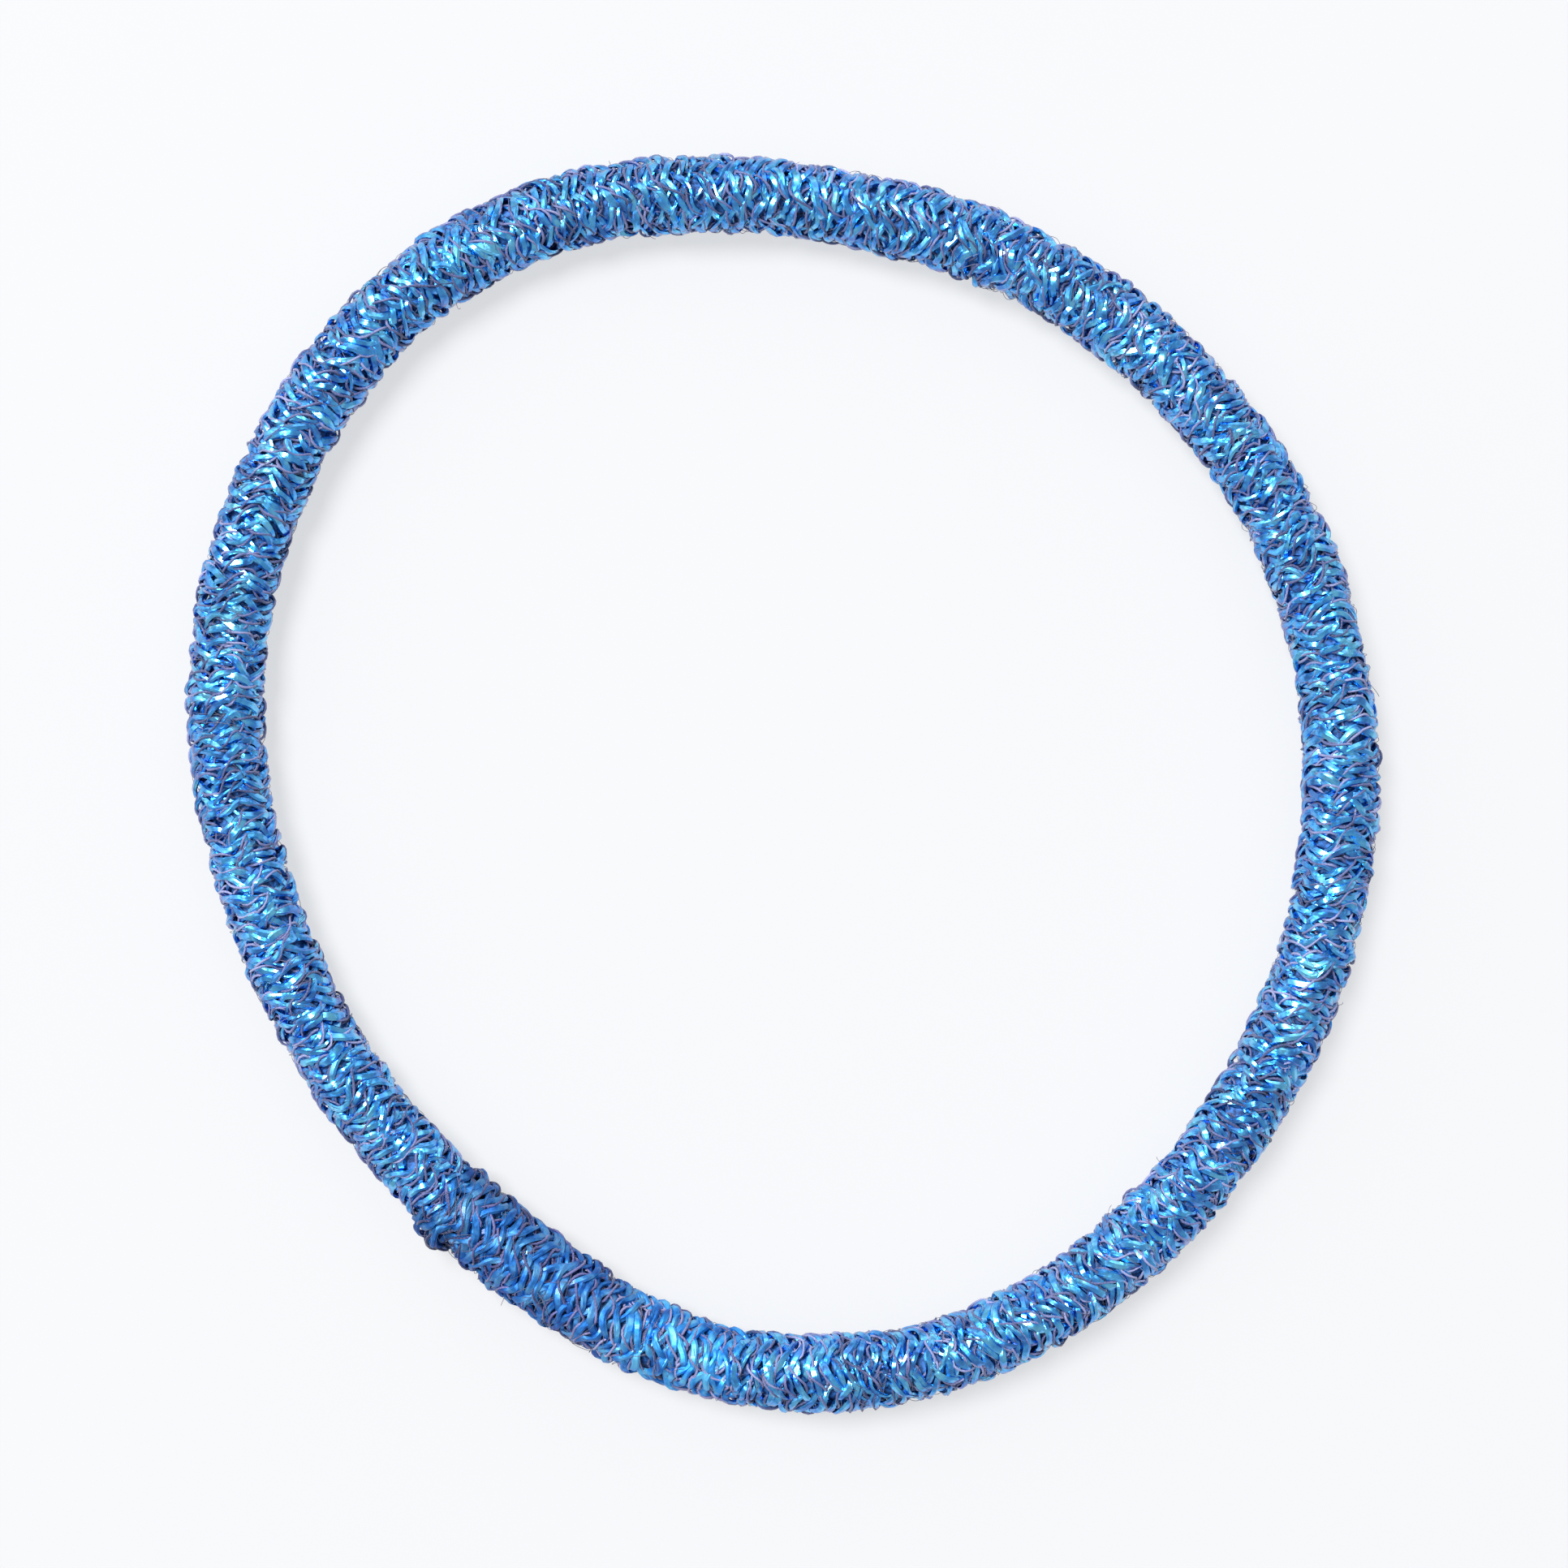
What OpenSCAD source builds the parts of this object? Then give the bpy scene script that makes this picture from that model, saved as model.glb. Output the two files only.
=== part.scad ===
// Hair tie: an endless round elastic cord in a braided metallic cover, lying flat.
// Millimetres, +Z up, origin under the middle of the loop, on the surface it lies on.

/* [Loop] */
// Length of the loop, measured along the middle of the cord
loop_length = 165; // [120:1:220]

/* [Cord] */
// Thickness of the cord over its braided cover
cord_d = 3.5; // [3.2:0.1:4.5]
// Thickness of the braided cover's wall
cover_wall = 0.45; // [0.3:0.05:0.7]
// Clearance between one piece and the next
clearance = 0.06; // [0.04:0.01:0.06]

/* [Join] */
// Where the sleeve over the join begins, as a share of the loop from its rightmost point
join_at = 0.638; // [0.5:0.001:0.75]
// Length of the sleeve along the cord
sleeve_length = 16; // [10:1:25]
// Thickness of the sleeve behind its lip
sleeve_wall = 0.2; // [0.14:0.01:0.2]
// Thickness of the sleeve at its two ends
edge_thickness = 0.1; // [0.08:0.01:0.12]
// Height of the lip over the rest of the sleeve, on the outer side of the loop
lip_height = 0.45; // [0.2:0.05:0.5]
// Length of the lip along the cord
lip_length = 2.2; // [1.6:0.1:4]

/* [Hidden] */

// Rings along the loop and flat sides round the cord, one of which lies on the surface
loop_rings = 80;
cord_sides = 16;
ring_step = loop_length / loop_rings;
// Rings of the sleeve, close together at its lip and wider apart behind it
lip_rings = 7;
tail_rings = 11;
// Corners left out at each side of the flat underneath, where the sleeve is open
open_corners = 1;
// Angle up from the outer side at which the lip is highest
lip_lean = 20;
// Power that moves the lip's crest towards its steep far side
lip_skew = 1.6;

// The loop is a chain of bends that run into each other without a kink. It starts
// at the rightmost point, heading +Y, and goes round anticlockwise.
// Columns: radius of the bend (only the proportions count), degrees that it turns.
// The two radii given as 0 are worked out so that the chain closes.
RADIUS = 0;
TURN = 1;
bends = [
    [26, 70],    // right side
    [35, 24],    // top
    [19.5, 46],  // shoulder, upper left
    [0, 48],     // left side
    [32, 32],    // lower left
    [39, 18],    // stiff stretch at the join
    [0, 66],     // bottom
    [29, 56]     // lower right
];
bend_count = len(bends);
first_heading = 90;
headings = [for (i = 0, h = first_heading; i <= bend_count;
                 h = h + (i < bend_count ? bends[i][TURN] : 0), i = i + 1) h];

// Vector from the start of a bend to its end, for a radius of 1
function unit_chord(i) = [sin(headings[i + 1]) - sin(headings[i]),
                          cos(headings[i]) - cos(headings[i + 1])];
function cross_2d(a, b) = a[0] * b[1] - a[1] * b[0];
function total(values, i = 0) = i == len(values) - 1 ? values[i] : values[i] + total(values, i + 1);

// The two unknown radii bring the chain back to its start
closing = [for (i = [0 : bend_count - 1]) if (bends[i][RADIUS] == 0) i];
missing = -total([for (i = [0 : bend_count - 1]) bends[i][RADIUS] * unit_chord(i)]);
chord_a = unit_chord(closing[0]);
chord_b = unit_chord(closing[1]);
closing_radii = [cross_2d(missing, chord_b), cross_2d(chord_a, missing)] / cross_2d(chord_a, chord_b);
drawn_radii = [for (i = [0 : bend_count - 1])
    i == closing[0] ? closing_radii[0] : i == closing[1] ? closing_radii[1] : bends[i][RADIUS]];

// Real radii, and where each bend starts: its place and its distance along the loop
radians = PI / 180;
drawn_length = total([for (i = [0 : bend_count - 1]) drawn_radii[i] * bends[i][TURN] * radians]);
radii = drawn_radii * loop_length / drawn_length;
starts = [for (i = 0, p = [0, 0]; i < bend_count; p = p + radii[i] * unit_chord(i), i = i + 1) p];
distances = [for (i = 0, s = 0; i <= bend_count;
                  s = s + (i < bend_count ? radii[i] * bends[i][TURN] * radians : 0), i = i + 1) s];

// The bend, heading and place at distance s along the loop
function bend_at(s, i = 0) = i == bend_count - 1 || s < distances[i + 1] ? i : bend_at(s, i + 1);
function heading_at(s) = let (i = bend_at(s)) headings[i] + (s - distances[i]) / radii[i] / radians;
function outward(h) = [sin(h), -cos(h)];
function bend_place(i, h) = starts[i] + radii[i] * (outward(h) - outward(headings[i]));
function loop_place(s) = bend_place(bend_at(s), heading_at(s));

// Middle of the loop: halfway between its furthest points along X and along Y
function place_heading(h) = bend_place(len([for (k = headings) if (k <= h) k]) - 1, h);
middle = [place_heading(90)[0] + place_heading(270)[0],
          place_heading(180)[1] + place_heading(360)[1]] / 2;

// A point of the cord at distance s: r from its middle line, a degrees up from the outer side
function cord_point(s, r, a) =
    let (flat = loop_place(s) - middle + r * cos(a) * outward(heading_at(s)))
    [flat[0], flat[1], cord_d / 2 + r * sin(a)];

// Corners of a flat-bottomed ring whose flats lie at distance r from the middle line
function corner_angle(k) = -90 + (k + 0.5) * 360 / cord_sides;
function corner_r(r) = r / cos(180 / cord_sides);

// Faces between a ring of n points from number a on and the next ring, from number b on
function strip(a, b, n) = [for (k = [0 : n - 1])
    let (m = (k + 1) % n) each [[a + k, b + m, b + k], [a + k, a + m, b + m]]];
function turned(faces) = [for (f = faces) [f[0], f[2], f[1]]];

// A solid round cord all the way round the loop, whose flats lie at distance r
module endless_cord(r) {
    points = [for (i = [0 : loop_rings - 1], k = [0 : cord_sides - 1])
        cord_point(i * ring_step, corner_r(r), corner_angle(k))];
    faces = [for (i = [0 : loop_rings - 1])
        each strip(i * cord_sides, (i + 1) % loop_rings * cord_sides, cord_sides)];
    polyhedron(points, faces);
}

module elastic_core() {
    color("dimgray") endless_cord(cord_d / 2 - cover_wall - clearance);
}

module braided_cover() {
    color("steelblue") difference() {
        endless_cord(cord_d / 2);
        endless_cord(cord_d / 2 - cover_wall);
    }
}

// The cover's end drawn over the join: a wall that is open underneath, where the cord
// lies, with a lip at its beginning, on the outer side of the loop
sleeve_corners = cord_sides - 2 * open_corners;
sleeve_start = join_at * loop_length;
tail_length = sleeve_length - lip_length;
sleeve_steps = concat([for (i = [0 : lip_rings - 1]) lip_length * i / lip_rings],
                      [for (i = [0 : tail_rings]) lip_length + tail_length * i / tail_rings]);

// Thickness at distance u from the sleeve's beginning and angle a up from the outer side:
// the wall swells smoothly from one end and thins to the other, and the lip is a hump on it
function ease(x) = let (y = min(max(x, 0), 1)) y * y * (3 - 2 * y);
function wall_at(u) = edge_thickness
    + (sleeve_wall - edge_thickness) * ease(u / lip_length) * ease((sleeve_length - u) / tail_length);
function lip_at(u, a) = lip_height * pow(max(0, cos(a - lip_lean)), 2)
    * (u < lip_length ? pow(sin(180 * pow(u / lip_length, lip_skew)), 2) : 0);
function sleeve_thickness(u, a) = wall_at(u) + lip_at(u, a);

module join_sleeve() {
    inner_r = corner_r(cord_d / 2 + clearance);
    angles = [for (k = [0 : sleeve_corners - 1]) corner_angle(k + open_corners)];
    ring = 2 * sleeve_corners;
    // Each ring runs up the inside of the sleeve and back along its outside
    points = [for (u = sleeve_steps) each concat(
        [for (a = angles) cord_point(sleeve_start + u, inner_r, a)],
        [for (k = [sleeve_corners - 1 : -1 : 0])
            cord_point(sleeve_start + u, inner_r + sleeve_thickness(u, angles[k]), angles[k])])];
    last = (len(sleeve_steps) - 1) * ring;
    sides = [for (i = [0 : len(sleeve_steps) - 2]) each strip(i * ring, (i + 1) * ring, ring)];
    // An end face lies between the inner corners and the outer ones across from them
    end_face = [for (k = [0 : sleeve_corners - 2])
        each [[k, k + 1, ring - 2 - k], [k, ring - 2 - k, ring - 1 - k]]];
    color("cornflowerblue")
        polyhedron(points, concat(turned(sides), end_face,
                                  turned([for (f = end_face) f + [last, last, last]])));
}

elastic_core();
braided_cover();
join_sleeve();
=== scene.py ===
import math
import bpy
import numpy as np
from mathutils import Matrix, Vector


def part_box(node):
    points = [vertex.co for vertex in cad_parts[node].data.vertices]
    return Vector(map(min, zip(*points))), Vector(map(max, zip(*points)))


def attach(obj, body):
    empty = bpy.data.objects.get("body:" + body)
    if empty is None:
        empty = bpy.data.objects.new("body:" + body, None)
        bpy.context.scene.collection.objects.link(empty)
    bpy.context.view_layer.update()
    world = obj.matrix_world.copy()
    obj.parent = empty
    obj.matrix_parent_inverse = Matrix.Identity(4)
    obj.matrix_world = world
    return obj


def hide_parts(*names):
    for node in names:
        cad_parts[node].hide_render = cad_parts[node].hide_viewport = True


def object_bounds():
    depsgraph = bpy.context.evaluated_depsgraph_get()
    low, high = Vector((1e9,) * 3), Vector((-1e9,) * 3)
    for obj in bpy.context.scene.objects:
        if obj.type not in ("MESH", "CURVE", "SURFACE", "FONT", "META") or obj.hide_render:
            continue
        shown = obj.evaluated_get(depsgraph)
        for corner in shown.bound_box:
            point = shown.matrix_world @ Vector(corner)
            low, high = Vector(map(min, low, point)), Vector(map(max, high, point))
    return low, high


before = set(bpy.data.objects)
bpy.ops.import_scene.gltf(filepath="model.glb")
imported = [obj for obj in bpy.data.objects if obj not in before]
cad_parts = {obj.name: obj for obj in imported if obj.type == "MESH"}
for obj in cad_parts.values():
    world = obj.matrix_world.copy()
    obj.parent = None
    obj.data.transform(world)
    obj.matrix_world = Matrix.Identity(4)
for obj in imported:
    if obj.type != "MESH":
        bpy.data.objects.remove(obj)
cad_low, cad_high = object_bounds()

# A hair tie: an endless elastic cord in a braid of metallic film yarns, lying on a table.
# Every length is in metres, in the frame's own axes: +Z up, the loop round the origin.
# An angle round the cord is counted up from the outer side of the loop, in radians.
MM = 0.001
TURN = 2 * math.pi

# Sizes that the frame gives
cover_low, cover_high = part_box("braided_cover")
cord_r = (cover_high.z - cover_low.z) / 2
cord_z = (cover_high.z + cover_low.z) / 2

# The loop is a chain of bends, from its rightmost point anticlockwise.
# Columns: radius of the bend (in proportion), degrees that it turns. Two radii, given
# as 0, are worked out so that the chain closes.
RADIUS, ANGLE = 0, 1
bends = np.array([
    [26, 70],    # right side
    [35, 24],    # top
    [19.5, 46],  # shoulder, upper left
    [0, 48],     # left side
    [32, 32],    # lower left
    [39, 18],    # stiff stretch at the join
    [0, 66],     # bottom
    [29, 56],    # lower right
])
join_at = 0.636

# The braid: yarns that wind each way, their turns round the cord in one loop, and how far
# a yarn rises over those that cross it and sinks under them. The part of a turn lays the
# yarns of the braid's beginning between those of its end. The first yarn starts that share
# of the yarns' spacing away from the outer side.
yarns = 8
turns = 37 + 0.5 / yarns
first_yarn = 0.25
yarn_r = cord_r - 0.24 * MM
over_under = 0.11 * MM
float_flatness = 2
rings_per_turn = 54

# A yarn is a folded ribbon of metallic film and a support thread that winds about it.
# Now and then the film turns over, within a share of the length from one turn to the next.
film_half_width = 0.195 * MM
film_half_thickness = 0.11 * MM
film_corner = 0.9
film_sides = 6
film_twist_length = 2.0 * MM
film_orbit_width = 0.08 * MM
film_orbit_height = 0.04 * MM
film_narrowing = 0.35
film_over_length = 10 * MM
film_over_share = 0.12
thread_r = 0.065 * MM
thread_sides = 4
thread_twist_length = 2.0 * MM
thread_orbit_width = 0.26 * MM
thread_orbit_height = 0.12 * MM

# Loose fibres that stand a little proud of the braid
fibres = 2000
fibre_r = 0.014 * MM
fibre_rings = 12
fibre_sides = 3
fibre_shortest = 0.7 * MM
fibre_longest = 2.4 * MM
fibre_slope = 0.5
fibre_slope_spread = 0.3
fibre_bow = 0.5
fibre_depth = 0.27 * MM
fibre_rise = 0.22 * MM
fibre_extra = 0.025 * MM
fibre_extra_most = 0.07 * MM
fibre_free_share = 0.02

# The join: the braid's beginning lies over its end as a sleeve, with a lip on the outer side
overlap = 5 * MM
sleeve_length = 16 * MM
sleeve_wall = 0.18 * MM
sleeve_start = 0.3
lip_length = 1.95 * MM
lip_height = 0.42 * MM
lip_lean = math.radians(20)
lip_power = 2
lip_rise = 1.4 * MM
lip_start = 0.1
lip_drop = 0.6 * MM
lip_filling = 0.85

# Behind the lip the braid sinks into a notch and its yarns part
notch_distance = 0.15 * MM
notch_depth = 0.3 * MM
notch_width = 0.35 * MM
notch_lean = 2 * lip_lean
notch_power = 6
parting = 0.42 * MM
parting_edge = 0.15 * MM
parting_reach = 0.5 * MM
parting_lean = 2.3 * lip_lean
parting_span = 0.4

# Under the sleeve's beginning the braid's end sinks in. Near there, and at the lip, the
# yarns lie closer in order, but those of the lip are rougher one by one.
end_before = 0.3 * MM
end_depth = 0.24 * MM
end_slope = 1.2 * MM
join_reach = 1.6 * MM
join_order = 0.7
lip_middle = 0.6 * lip_length
lip_roughness = 0.6

# Underneath, the cord's weight presses the sleeve to a share of its wall, and the floor
# flattens what would sink into it
pressed_share = 0.1
pressed_height = 0.6
floor_softness = 0.012 * MM

# How each yarn strays by itself, smoothly and at random. Columns: seed, distance between
# its random knots, the most that it strays either way, in metres, radians or as a share.
SEED = 4
own_strays = {
    "round_cord": (1, 2.4 * MM, 0.06),
    "slide": (2, 0.9 * MM, 0.21 * MM),
    "long_slide": (3, 3.2 * MM, 0.17 * MM),
    "height": (4, 1.0 * MM, 0.08 * MM),
    "thread_spin": (6, 3.7 * MM, 2.2),
    "pull": (11, 2.2 * MM, 1),
    "film_spin": (14, 2.1 * MM, 1.6),
    "film_over": (28, 7 * MM, 0.6),
    "film_tilt": (29, 0.8 * MM, math.radians(38)),
    "film_width": (30, 2.8 * MM, 0.2),
}

# A yarn stands up to this much higher where its pull is over this value
pull_height = 0.06 * MM
pull_from = 0.5

# Seeds of what each yarn begins with, and of the fibres
thread_phase_seed = 5
film_phase_seed = 13
film_over_seed = 27
film_over_phases = 50
fibre_seed = 50

# How neighbouring yarns stray together, over patches of the cord.
# Columns: seed, length of a patch, patches round the cord, the most that they stray.
shared_strays = {
    "slide": (2, 2.2 * MM, 5, 0.21 * MM),
    "height": (3, 2.4 * MM, 4, 0.06 * MM),
    "fine_height": (6, 1.1 * MM, 7, 0.06 * MM),
    "weave": (7, 2.1 * MM, 5, 1.5),
    "film_tilt": (4, 1.3 * MM, 7, math.radians(30)),
    "long_film_tilt": (5, 4 * MM, 4, math.radians(24)),
}

# The whole braid turns a little about the cord, to and fro
braid_twist = 0.2
braid_twist_step = 13 * MM
braid_twist_seed = 1


# The centre line of the loop

def outward(heading):
    """Unit vector to the right of a heading, which on this loop is away from its middle."""
    return np.stack([np.sin(heading), -np.cos(heading)], -1)


def loop_chain():
    """Radii of all bends, and the headings, distances and places at which they start.

    A bend of radius r from heading a to heading b moves by r (outward(b) - outward(a)),
    so two linear equations give the two unknown radii. The loop is then scaled so that
    its width fits the frame."""
    headings = TURN / 4 + np.concatenate([[0], np.cumsum(np.radians(bends[:, ANGLE]))])
    steps = outward(headings[1:]) - outward(headings[:-1])
    radii = bends[:, RADIUS].copy()
    unknown = radii == 0
    radii[unknown] = np.linalg.solve(steps[unknown].T, -(steps * radii[:, None]).sum(0))
    starts = np.concatenate([[[0, 0]], np.cumsum(steps * radii[:, None], 0)])
    # Furthest points: the start, and where the heading is left (top), down (left side)
    # and right (bottom)
    turned = np.array([TURN / 2, TURN * 3 / 4, TURN])
    k = np.searchsorted(headings, turned, "right") - 1
    top, left, bottom = starts[k] + radii[k, None] * (outward(turned) - outward(headings[k]))
    middle = np.array([left[0] / 2, (top[1] + bottom[1]) / 2])
    scale = (cover_high.x - cover_low.x - 2 * cord_r) / -left[0]
    distances = np.concatenate([[0], np.cumsum(radii * np.radians(bends[:, ANGLE]))])
    return radii * scale, headings, distances * scale, (starts - middle) * scale


radii, headings, distances, starts = loop_chain()
loop_length = distances[-1]


def loop_point(s):
    """Place and outward direction, in the plane, at distance s along the loop."""
    s = np.mod(s, loop_length)
    k = np.clip(np.searchsorted(distances, s, "right") - 1, 0, len(radii) - 1)
    heading = headings[k] + (s - distances[k]) / radii[k]
    out = outward(heading)
    return starts[k] + radii[k][..., None] * (out - outward(headings[k])), out


def cord_point(u, angle, r):
    """Place at distance u along the braid from its beginning, at that angle round the
    cord and r from its middle line, and the direction away from that line."""
    place, out = loop_point(join_at * loop_length + u)
    radial = np.concatenate([np.cos(angle)[..., None] * out, np.sin(angle)[..., None]], -1)
    middle_line = np.concatenate([place, np.full(angle.shape + (1,), cord_z)], -1)
    return middle_line + r[..., None] * radial, radial


# Lengths along the braid

pitch = loop_length / turns
ring_step = pitch / rings_per_turn
total_length = loop_length + overlap
yarn_stretch = math.hypot(TURN * yarn_r, pitch) / pitch
yarn_length = total_length * yarn_stretch
sleeve_rings = round(sleeve_length / ring_step)
all_rings = round(total_length / ring_step)


# Smooth steps, humps and random straying

def unit(v):
    """v divided by its length."""
    return v / np.linalg.norm(v, axis=-1, keepdims=True)


def ease(x):
    """0 below 0, 1 above 1, and 3x^2 - 2x^3 between."""
    x = np.clip(x, 0, 1)
    return x * x * (3 - 2 * x)


def bell(x):
    """1 at 0 and nearly 0 beyond 2 either way: e to the power of minus x squared."""
    return np.exp(-x * x)


def lobe(angle, middle, power):
    """1 at the middle angle and 0 from a quarter turn on: the cosine to a power."""
    return np.maximum(0, np.cos(angle - middle)) ** power


def yarn_seed(way, seed):
    """A seed that differs between the yarns that wind one way (1) and the other (-1)."""
    return [SEED, 100 * (way + 2) + seed]


def wander(seed, rows, along, step):
    """A smooth random value between -1 and 1 for each row at each distance: uniform
    random knots, one every step, joined by eased steps."""
    knots = np.random.default_rng(seed).uniform(-1, 1, (rows, int(yarn_length / step) + 3))
    x = along / step
    k = np.floor(x).astype(int)
    return knots[:, k] + (knots[:, k + 1] - knots[:, k]) * ease(x - k)


def own_stray(name, way, along):
    """How far each yarn that winds that way strays by itself, at distances along it."""
    seed, step, amount = own_strays[name]
    return amount * wander(yarn_seed(way, seed), yarns, along, step)


def shared_stray(name, u, angle):
    """How far the yarns stray together at distance u along the cord and that angle round
    it: random knots, one every step and one in each sector, joined by eased steps both
    ways."""
    seed, step, sectors, amount = shared_strays[name]
    shape = (int(total_length / step) + 3, sectors)
    knots = np.random.default_rng([SEED, seed]).uniform(-1, 1, shape)
    x = np.broadcast_to(u / step, angle.shape)
    y = np.mod(angle, TURN) * sectors / TURN
    i, j = np.floor(x).astype(int), np.floor(y).astype(int)
    j_next = (j + 1) % sectors
    fx, fy = ease(x - i), ease(y - j)
    low = knots[i, j % sectors] * (1 - fx) + knots[i + 1, j % sectors] * fx
    high = knots[i, j_next] * (1 - fx) + knots[i + 1, j_next] * fx
    return amount * (low * (1 - fy) + high * fy)


# The join

def lip_hump(u):
    """The lip's profile along the cord: it rises slowly and drops fast."""
    return ease(u / lip_rise + lip_start) * ease((lip_length - u) / lip_drop)


def sleeve_lift(u, angle):
    """How far the braid stands off the cord at distance u from its beginning: a wall
    that rises at the lip and thins along the sleeve, and the lip, a hump on the outer
    side. Underneath, the cord's weight presses the wall flat. The braid's end sinks under
    its beginning and fills the lip from inside."""
    thinning = ease((sleeve_length - u) / (sleeve_length - lip_length))
    wall = sleeve_wall * ease(u / lip_length + sleeve_start) * thinning
    pressed = pressed_share + (1 - pressed_share) * ease((np.sin(angle) + 1) / pressed_height)
    hump = lip_hump(u) + lip_filling * lip_hump(u - loop_length)
    lip = lip_height * hump * lobe(angle, lip_lean, lip_power)
    behind = (u - lip_length - notch_distance) / notch_width
    notch = notch_depth * bell(behind) * lobe(angle, notch_lean, notch_power)
    sunk = end_depth * ease((u - loop_length + end_before) / end_slope)
    return wall * pressed + lip - notch - sunk


def yarn_parting(u, angle):
    """How far the yarns slide apart behind the lip, backward before the notch and forward
    after it: a hyperbolic tangent along the cord, faded by a bell along and round it."""
    beyond = u - lip_length - notch_distance
    beside = np.mod(angle - parting_lean + TURN / 2, TURN) - TURN / 2
    faded = bell(beyond / parting_reach) * bell(beside / parting_span)
    return parting * np.tanh(beyond / parting_edge) * faded


# The paths of the yarns

def yarn_paths(way, j):
    """Centres, sideways and outward directions, and angles round the cord of the yarns
    that wind one way, at rings j. Each yarn is a helix about the cord. Those that wind one
    way rise where the cosine of the angle from the top, times half the number of yarns, is
    negative and sink where it is positive, and the others do the opposite. This weaves
    them two over, two under, in columns along the cord, one of which lies on top."""
    j = np.concatenate([[j[0] - 1], j, [j[-1] + 1]])
    u = j * ring_step
    y = u * yarn_stretch
    strand = np.arange(yarns)[:, None]
    twist = braid_twist * wander([SEED, braid_twist_seed], 1, u, braid_twist_step)
    angle = TURN * (way * u / pitch + (strand + first_yarn) / yarns) + twist
    angle = angle + own_stray("round_cord", way, y)

    from_top = yarns / 2 * (angle - twist - TURN / 4) + shared_stray("weave", u, angle)
    rise = -np.tanh(float_flatness * np.cos(from_top)) / math.tanh(float_flatness)

    at_lip = bell((u - lip_middle) / join_reach)
    at_end = bell((u - loop_length + end_before) / join_reach)
    rough = 1 + lip_roughness * at_lip
    slide = yarn_parting(u, angle) + own_stray("slide", way, y) * rough
    long_slide = own_stray("long_slide", way, y) + shared_stray("slide", u, angle)
    slide = (slide + long_slide * (1 - join_order * at_lip)) * (1 - join_order * at_end)

    pulled = ease((own_stray("pull", way, y) - pull_from) / (1 - pull_from))
    uneven = own_stray("height", way, y) * rough + pull_height * pulled
    uneven = uneven + shared_stray("height", u, angle) + shared_stray("fine_height", u, angle)
    r = yarn_r + sleeve_lift(u, angle) + way * over_under * rise + uneven

    centre, radial = cord_point(u + slide, angle, r)
    forward = unit(centre[:, 2:] - centre[:, :-2])
    sideways = unit(np.cross(forward, radial[:, 1:-1]))
    return centre[:, 1:-1], sideways, np.cross(sideways, forward), angle[:, 1:-1]


def orbit(way, along, phase_seed, twist_length, stray, width, height):
    """Sideways and outward offset of a strand that winds about its yarn's middle line on
    an ellipse, with an uneven twist."""
    phase = np.random.default_rng(yarn_seed(way, phase_seed)).uniform(0, TURN, (yarns, 1))
    spin = TURN * along / twist_length + phase + own_stray(stray, way, along)
    return width * np.cos(spin)[..., None], height * np.sin(spin)[..., None]


def film_tilt(way, j, angle):
    """Turn of the film about its length: it wanders, partly with its neighbours, and now
    and then it turns right over."""
    u = j * ring_step
    y = u * yarn_stretch
    pick = np.random.default_rng(yarn_seed(way, film_over_seed))
    phase = pick.uniform(0, film_over_phases, (yarns, 1))
    x = y / film_over_length + phase + own_stray("film_over", way, y)
    over = np.floor(x) + ease((x - np.floor(x) - 1) / film_over_share + 1)
    shared = shared_stray("film_tilt", u, angle) + shared_stray("long_film_tilt", u, angle)
    return own_stray("film_tilt", way, y) + shared + TURN / 2 * over


def rest_on_floor(points):
    """Flattens what would sink into the floor: z becomes (z + sqrt(z^2 + 4 e^2)) / 2."""
    z = points[..., 2]
    points[..., 2] = (z + np.sqrt(z * z + 4 * floor_softness ** 2)) / 2
    return points


def round_rings(centre, sideways, outer, r, sides):
    """Rings of that radius and number of sides round each centre."""
    phi = TURN * np.arange(sides)[:, None] / sides
    ring = np.cos(phi) * sideways[:, :, None] + np.sin(phi) * outer[:, :, None]
    return rest_on_floor(centre[:, :, None] + r * ring)


def film_points(way, j):
    """Rings round the film of each yarn: a folded ribbon with six corners at
    x = a |cos|^c, y = b |sin|^c, turned by the film's tilt and narrower on edge."""
    centre, sideways, outer, angle = yarn_paths(way, j)
    along = j * ring_step * yarn_stretch
    beside, above = orbit(way, along, film_phase_seed, film_twist_length, "film_spin",
                          film_orbit_width, film_orbit_height)
    centre = centre + beside * sideways + above * outer
    tilt = film_tilt(way, j, angle)
    half_width = film_half_width * (1 + own_stray("film_width", way, along))
    half_width = half_width * (1 - film_narrowing * np.sin(tilt) ** 2)
    phi = TURN * np.arange(film_sides) / film_sides
    c, s = np.cos(phi), np.sin(phi)
    x = half_width[..., None] * np.sign(c) * np.abs(c) ** film_corner
    y = film_half_thickness * np.sign(s) * np.abs(s) ** film_corner
    ct, st = np.cos(tilt)[..., None], np.sin(tilt)[..., None]
    across = (x * ct - y * st)[..., None] * sideways[:, :, None]
    up = (x * st + y * ct)[..., None] * outer[:, :, None]
    return rest_on_floor(centre[:, :, None] + across + up)


def thread_points(way, j):
    """Rings round the support threads, round and even."""
    centre, sideways, outer, _ = yarn_paths(way, j)
    along = j * ring_step * yarn_stretch
    beside, above = orbit(way, along, thread_phase_seed, thread_twist_length, "thread_spin",
                          thread_orbit_width, thread_orbit_height)
    centre = centre + beside * sideways + above * outer
    return round_rings(centre, sideways, outer, thread_r, thread_sides)


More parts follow.
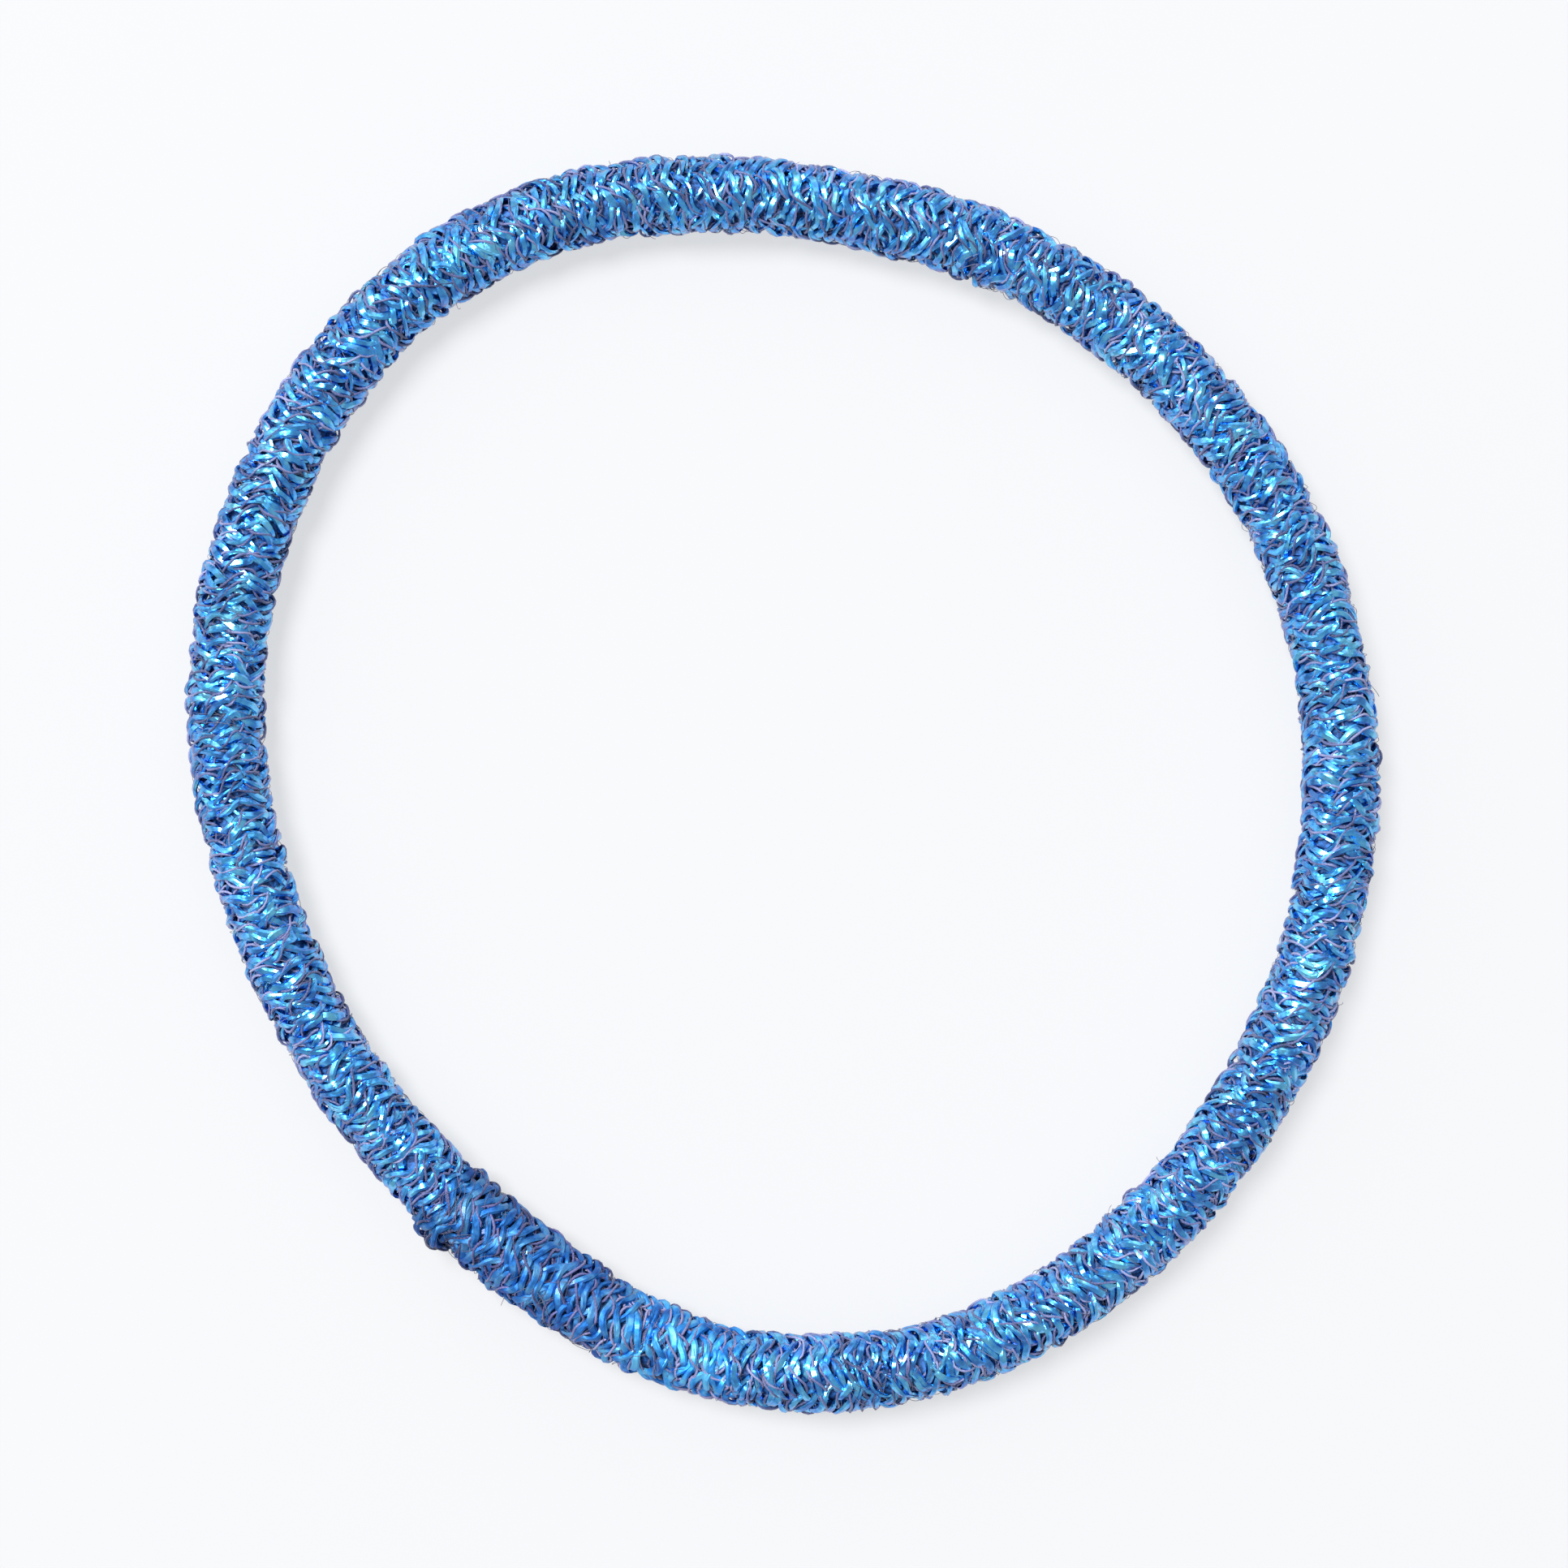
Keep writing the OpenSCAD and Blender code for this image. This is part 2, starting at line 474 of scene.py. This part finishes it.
def fibre_points():
    """Rings round the loose fibres. Each starts and ends in the braid and follows its
    slope one way or the other, roughly; half a sine lifts its middle over the yarns, and
    a few keep rising, to a free end."""
    pick = np.random.default_rng([SEED, fibre_seed])
    t = np.linspace(0, 1, fibre_rings)
    shape = (fibres, 1)
    length = pick.uniform(fibre_shortest, fibre_longest, shape)
    slope = pick.choice([-1, 1], shape) * pick.normal(fibre_slope, fibre_slope_spread, shape)
    bow = pick.normal(0, fibre_bow, shape) * t * (1 - t)
    u = pick.uniform(0, loop_length, shape) + length * (np.sin(slope) * t + bow * np.cos(slope))
    round_cord = length * (np.cos(slope) * t - bow * np.sin(slope)) / cord_r
    angle = pick.uniform(0, TURN, shape) + round_cord
    free = pick.uniform(0, 1, shape) < fibre_free_share
    rise = np.where(free, np.sin(TURN / 4 * t) * (1 + t), np.sin(TURN / 2 * t))
    extra = np.minimum(pick.exponential(fibre_extra, shape), fibre_extra_most)
    lift = sleeve_lift(np.mod(u, loop_length), angle)
    centre, radial = cord_point(u, angle, cord_r - fibre_depth + lift + (fibre_rise + extra) * rise)
    forward = unit(np.gradient(centre, axis=1))
    sideways = unit(np.cross(forward, radial))
    return round_rings(centre, sideways, np.cross(sideways, forward), fibre_r, fibre_sides)


# Meshes

def strand_mesh(name, points, crisp):
    """One mesh of closed strands from points[strand, ring, side]: a quad between each
    two sides of each two rings, and a flat end at both ends. The UV map runs in
    millimetres along a strand, and round it from the strand's number to the next.
    A crisp strand has sharp edges lengthwise, where the two corners of an edge are one
    whole ring apart."""
    strands, rings, sides = points.shape[:3]
    number = np.arange(strands * rings * sides).reshape(strands, rings, sides)
    here, there = number[:, :-1], number[:, 1:]
    quads = np.stack([here, there, np.roll(there, -1, 2), np.roll(here, -1, 2)], -1)
    quads = quads.reshape(-1, 4)
    ends = np.concatenate([number[:, 0], number[:, -1, ::-1]])
    corners = np.concatenate([quads.ravel(), ends.ravel()])
    sizes = np.concatenate([np.full(len(quads), 4), np.full(len(ends), sides)])
    mesh = bpy.data.meshes.new(name)
    mesh.vertices.add(points.size // 3)
    mesh.vertices.foreach_set("co", points.ravel())
    mesh.loops.add(len(corners))
    mesh.loops.foreach_set("vertex_index", corners)
    mesh.polygons.add(len(sizes))
    mesh.polygons.foreach_set("loop_start", np.concatenate([[0], np.cumsum(sizes)[:-1]]))
    mesh.polygons.foreach_set("use_smooth", np.ones(len(sizes), bool))
    ring_gaps = np.linalg.norm(np.diff(points.mean(2), axis=1), axis=-1)
    along = np.concatenate([np.zeros((strands, 1)), np.cumsum(ring_gaps, 1)], 1) / MM
    strand = np.arange(strands)[:, None, None]
    side = np.arange(sides)[None, None, :]
    low = np.broadcast_to(strand + side / sides, here.shape)
    high = np.broadcast_to(strand + (side + 1) / sides, here.shape)
    from_u = np.broadcast_to(along[:, :-1, None], here.shape)
    to_u = np.broadcast_to(along[:, 1:, None], here.shape)
    quad_uv = np.stack([from_u, low, to_u, low, to_u, high, from_u, high], -1).reshape(-1)
    end_uv = np.zeros(ends.size * 2)
    uv_map = mesh.uv_layers.new(name="UVMap")
    uv_map.data.foreach_set("uv", np.concatenate([quad_uv, end_uv]))
    mesh.update(calc_edges=True)
    if crisp:
        pairs = np.empty(2 * len(mesh.edges), np.int32)
        mesh.edges.foreach_get("vertices", pairs)
        lengthwise = np.abs(pairs[::2] - pairs[1::2]) == sides
        sharp = mesh.attributes.new("sharp_edge", "BOOLEAN", "EDGE")
        sharp.data.foreach_set("value", lengthwise)
    piece = bpy.data.objects.new(name, mesh)
    bpy.context.scene.collection.objects.link(piece)
    return piece


# Scale of the patterns that follow a strand: per millimetre along it, per turn round it
crease_scale = (2.4, 3.0, 1.0)
filament_scale = (4.0, 3.0, 1.0)

# Colours. Each row of a ramp is a place between 0 and 1 and the colour there. The film has
# a tint of its own where it is seen on edge.
film_blues = [(0.36, (0.020, 0.20, 0.64)), (0.5, (0.052, 0.425, 0.96)), (0.64, (0.16, 0.65, 1.0))]
film_on_edge = (0.75, 0.33, 0.42, 1)
thread_lavenders = [(0.35, (0.035, 0.05, 0.15)), (0.5, (0.105, 0.12, 0.29)), (0.62, (0.27, 0.29, 0.52))]
fibre_greys = [(0.35, (0.06, 0.065, 0.10)), (0.65, (0.20, 0.21, 0.32))]
# The core's colours are dyed navy rubber, darkened further as painted shade for the gaps of the braid
# where the core shows through.
core_navy_and_gap_shade = [(0.38, (0.005, 0.035, 0.15)), (0.62, (0.04, 0.20, 0.60))]

# The sleeve is duller. At the first of these shares of its length the tint is deepest, from
# the second to the third it is as given, and from the last on it has almost faded out.
film_tint = (0.72, 0.54, 0.64)
thread_tint = (0.50, 0.46, 0.66)
deepest_tint = 0.78
faded_tint = (1.0, 0.9, 0.9)
tint_places = (0.0, 0.25, 0.68, 0.82)


# Materials

def new_material(name):
    """A material, its node tree and its shader."""
    material = bpy.data.materials.new(name)
    material.use_nodes = True
    tree = material.node_tree
    return material, tree, tree.nodes["Principled BSDF"]


def pattern_places(tree):
    """The places that patterns are laid by: Object in metres, UV in millimetres along a
    strand and in turns round it."""
    return tree.nodes.new("ShaderNodeTexCoord").outputs


def set_inputs(node, **values):
    """Sets the inputs of those names, with _ for a space, or links them where the value
    is another node's output."""
    names = {socket.name.lower(): socket for socket in reversed(node.inputs)}
    for key, value in values.items():
        socket = names[key.replace("_", " ")]
        if isinstance(value, bpy.types.NodeSocket):
            node.id_data.links.new(value, socket)
        else:
            socket.default_value = value


def noise(tree, where, scale, detail):
    """Cloudy noise; in metres, a scale of 1000 gives clouds of about a millimetre."""
    node = tree.nodes.new("ShaderNodeTexNoise")
    set_inputs(node, vector=where, scale=scale, detail=detail)
    return node.outputs["Fac"]


def bump(tree, height, strength, distance):
    """A normal dented by a height."""
    node = tree.nodes.new("ShaderNodeBump")
    set_inputs(node, height=height, strength=strength, distance=distance)
    return node.outputs["Normal"]


def color_ramp(tree, factor, stops):
    """Colours at places between 0 and 1."""
    ramp = tree.nodes.new("ShaderNodeValToRGB")
    set_inputs(ramp, fac=factor)
    elements = ramp.color_ramp.elements
    while len(elements) < len(stops):
        elements.new(0.5)
    for element, (place, color) in zip(elements, stops):
        element.position = place
        element.color = (*color, 1)
    return ramp.outputs["Color"]


def stretched(tree, where, scale):
    """Places multiplied by a scale along each axis."""
    node = tree.nodes.new("ShaderNodeMapping")
    set_inputs(node, vector=where, scale=scale)
    return node.outputs["Vector"]


def tinted(tree, color, place, tint):
    """The colour as it is or, with a tint, multiplied by it along the first two thirds of
    the sleeve, most of all at its beginning, and less and less from there on."""
    if tint is None:
        return color
    split = tree.nodes.new("ShaderNodeSeparateXYZ")
    set_inputs(split, vector=place["UV"])
    share = tree.nodes.new("ShaderNodeMath")
    share.operation = "DIVIDE"
    tree.links.new(split.outputs["X"], share.inputs[0])
    share.inputs[1].default_value = sleeve_length * yarn_stretch / MM
    deepest = [deepest_tint * channel for channel in tint]
    stops = list(zip(tint_places, (deepest, tint, tint, faded_tint)))
    fading = color_ramp(tree, share.outputs["Value"], stops)
    product = tree.nodes.new("ShaderNodeVectorMath")
    product.operation = "MULTIPLY"
    tree.links.new(color, product.inputs[0])
    tree.links.new(fading, product.inputs[1])
    return product.outputs["Vector"]


def film_material(name, tint, smoothest, roughest, coat):
    """Blue lacquered metal film, dented and creased, with a clear hard coat."""
    material, tree, shader = new_material(name)
    place = pattern_places(tree)
    patch = noise(tree, place["Object"], scale=1300.0, detail=3.0)
    blue = color_ramp(tree, patch, film_blues)
    crease = noise(tree, stretched(tree, place["UV"], crease_scale), scale=1.0, detail=1.5)
    rough = tree.nodes.new("ShaderNodeMapRange")
    set_inputs(rough, value=crease, to_min=smoothest, to_max=roughest)
    dented = bump(tree, crease, strength=0.6, distance=0.16 * MM)
    set_inputs(shader, base_color=tinted(tree, blue, place, tint), metallic=1.0,
               roughness=rough.outputs["Result"], normal=dented, coat_weight=coat,
               coat_roughness=0.12, coat_ior=1.6, specular_tint=film_on_edge)
    return material


def thread_material(name, tint):
    """Lavender-grey support thread of twisted filaments, darker in places."""
    material, tree, shader = new_material(name)
    place = pattern_places(tree)
    patch = noise(tree, place["Object"], scale=450.0, detail=3.0)
    lavender = color_ramp(tree, patch, thread_lavenders)
    twist = tree.nodes.new("ShaderNodeTexWave")
    twist.bands_direction = "DIAGONAL"
    along = stretched(tree, place["UV"], filament_scale)
    set_inputs(twist, vector=along, scale=1.0, distortion=1.5)
    ribbed = bump(tree, twist.outputs["Fac"], strength=0.5, distance=0.02 * MM)
    set_inputs(shader, base_color=tinted(tree, lavender, place, tint), roughness=0.45,
               sheen_weight=0.2, normal=ribbed)
    return material


def fibre_material():
    """Greyish brown to lavender filaments."""
    material, tree, shader = new_material("loose_fibre")
    patch = noise(tree, pattern_places(tree)["Object"], scale=400.0, detail=2.0)
    set_inputs(shader, base_color=color_ramp(tree, patch, fibre_greys), roughness=0.5)
    return material


def core_material():
    """Navy rubber threads, seen only through the gaps of the braid; their colour is made darker than
    the dyed rubber as painted shade for those gaps.
    """
    material, tree, shader = new_material("navy_rubber_and_painted_gap_shade")
    patch = noise(tree, pattern_places(tree)["Object"], scale=4500.0, detail=3.0)
    grainy = bump(tree, patch, strength=0.9, distance=0.06 * MM)
    set_inputs(shader, base_color=color_ramp(tree, patch, core_navy_and_gap_shade), roughness=0.7,
               normal=grainy)
    return material


# The pieces

film = film_material("blue_metal_film", None, smoothest=0.19, roughest=0.40, coat=1)
dull_film = film_material("dull_blue_film", film_tint, smoothest=0.52, roughest=0.72, coat=0.25)
thread = thread_material("lavender_thread", None)
dull_thread = thread_material("dull_lavender_thread", thread_tint)
sleeve_j = np.arange(1, sleeve_rings + 1)
cover_j = np.arange(sleeve_rings, all_rings + 1)


def add_piece(name, points, crisp, material, *nodes):
    """A piece of yarns or fibres that rides on the tie and stands for those CAD nodes."""
    piece = strand_mesh(name, points, crisp)
    piece.data.materials.append(material)
    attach(piece, "root")
    if nodes:
        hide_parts(*nodes)


for way, lean in ((1, "rising"), (-1, "falling")):
    add_piece(f"cover_film_{lean}", film_points(way, cover_j), True, film, "braided_cover")
    add_piece(f"cover_thread_{lean}", thread_points(way, cover_j), False, thread, "braided_cover")
    add_piece(f"sleeve_film_{lean}", film_points(way, sleeve_j), True, dull_film, "join_sleeve")
    add_piece(f"sleeve_thread_{lean}", thread_points(way, sleeve_j), False, dull_thread, "join_sleeve")

add_piece("loose_fibres", fibre_points(), False, fibre_material())

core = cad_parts["elastic_core"]
core.data.materials.clear()
core.data.materials.append(core_material())


# Floor, light and camera

floor_half = 1.5
table_grey = (0.17, 0.172, 0.175, 1)
daylight = (0.97, 0.98, 1.0, 1)

# Round softboxes that face the loop. Columns: name, direction round the loop and height
# over the table in degrees, half-angle that the box fills as the loop sees it, brightness
softboxes = [
    ("key_light", 135, 65, 12.5, 28.3),
    ("left_box", 170, 30, 24, 1.0),
    ("back_box", 80, 30, 24, 1.0),
    ("right_box", -10, 30, 24, 0.1),
    ("front_box", -100, 30, 24, 0.1),
]
light_distance = 1.2

# The camera looks straight down, and the loop fills this share of the square picture.
# The lens and the width of the sensor are in millimetres.
camera_share = 0.80
lens = 85
sensor = 36


def add_floor():
    """A plain pale table top, a little bright by itself."""
    h = floor_half
    mesh = bpy.data.meshes.new("floor")
    mesh.from_pydata([(-h, -h, 0), (h, -h, 0), (h, h, 0), (-h, h, 0)], [], [(0, 1, 2, 3)])
    floor = bpy.data.objects.new("floor", mesh)
    bpy.context.scene.collection.objects.link(floor)
    table, _, shader = new_material("table")
    set_inputs(shader, base_color=table_grey, emission_color=daylight,
               emission_strength=0.65, roughness=0.9, specular_ior_level=0.1)
    mesh.materials.append(table)


def aim(thing, target):
    """Turns a light to face a place."""
    direction = Vector(target) - thing.location
    thing.rotation_euler = direction.to_track_quat("-Z", "Y").to_euler()


def add_softbox(name, bearing, height, half_angle, brightness):
    """A disk lamp whose power is its brightness times pi times its area."""
    bearing, height = math.radians(bearing), math.radians(height)
    radius = light_distance * math.tan(math.radians(half_angle))
    data = bpy.data.lights.new(name, "AREA")
    data.shape = "DISK"
    data.size = 2 * radius
    data.energy = brightness * math.pi * math.pi * radius ** 2
    light = bpy.data.objects.new(name, data)
    bpy.context.scene.collection.objects.link(light)
    flat = math.cos(height)
    direction = Vector((math.cos(bearing) * flat, math.sin(bearing) * flat, math.sin(height)))
    light.location = light_distance * direction
    aim(light, (0, 0, 0))


def add_world():
    """Even dim daylight from all round."""
    world = bpy.data.worlds.new("studio")
    world.use_nodes = True
    set_inputs(world.node_tree.nodes["Background"], color=daylight, strength=0.45)
    bpy.context.scene.world = world


def add_camera():
    """Straight above the loop, at the distance that gives it its share of the picture."""
    data = bpy.data.cameras.new("camera")
    data.lens = lens
    data.sensor_width = sensor
    camera = bpy.data.objects.new("camera", data)
    bpy.context.scene.collection.objects.link(camera)
    distance = (cad_high.y - cad_low.y) / camera_share * lens / sensor
    camera.location = (0, 0, cord_z + distance)
    bpy.context.scene.camera = camera


add_floor()
for row in softboxes:
    add_softbox(*row)
add_world()
add_camera()
bpy.context.scene.view_settings.view_transform = "Standard"
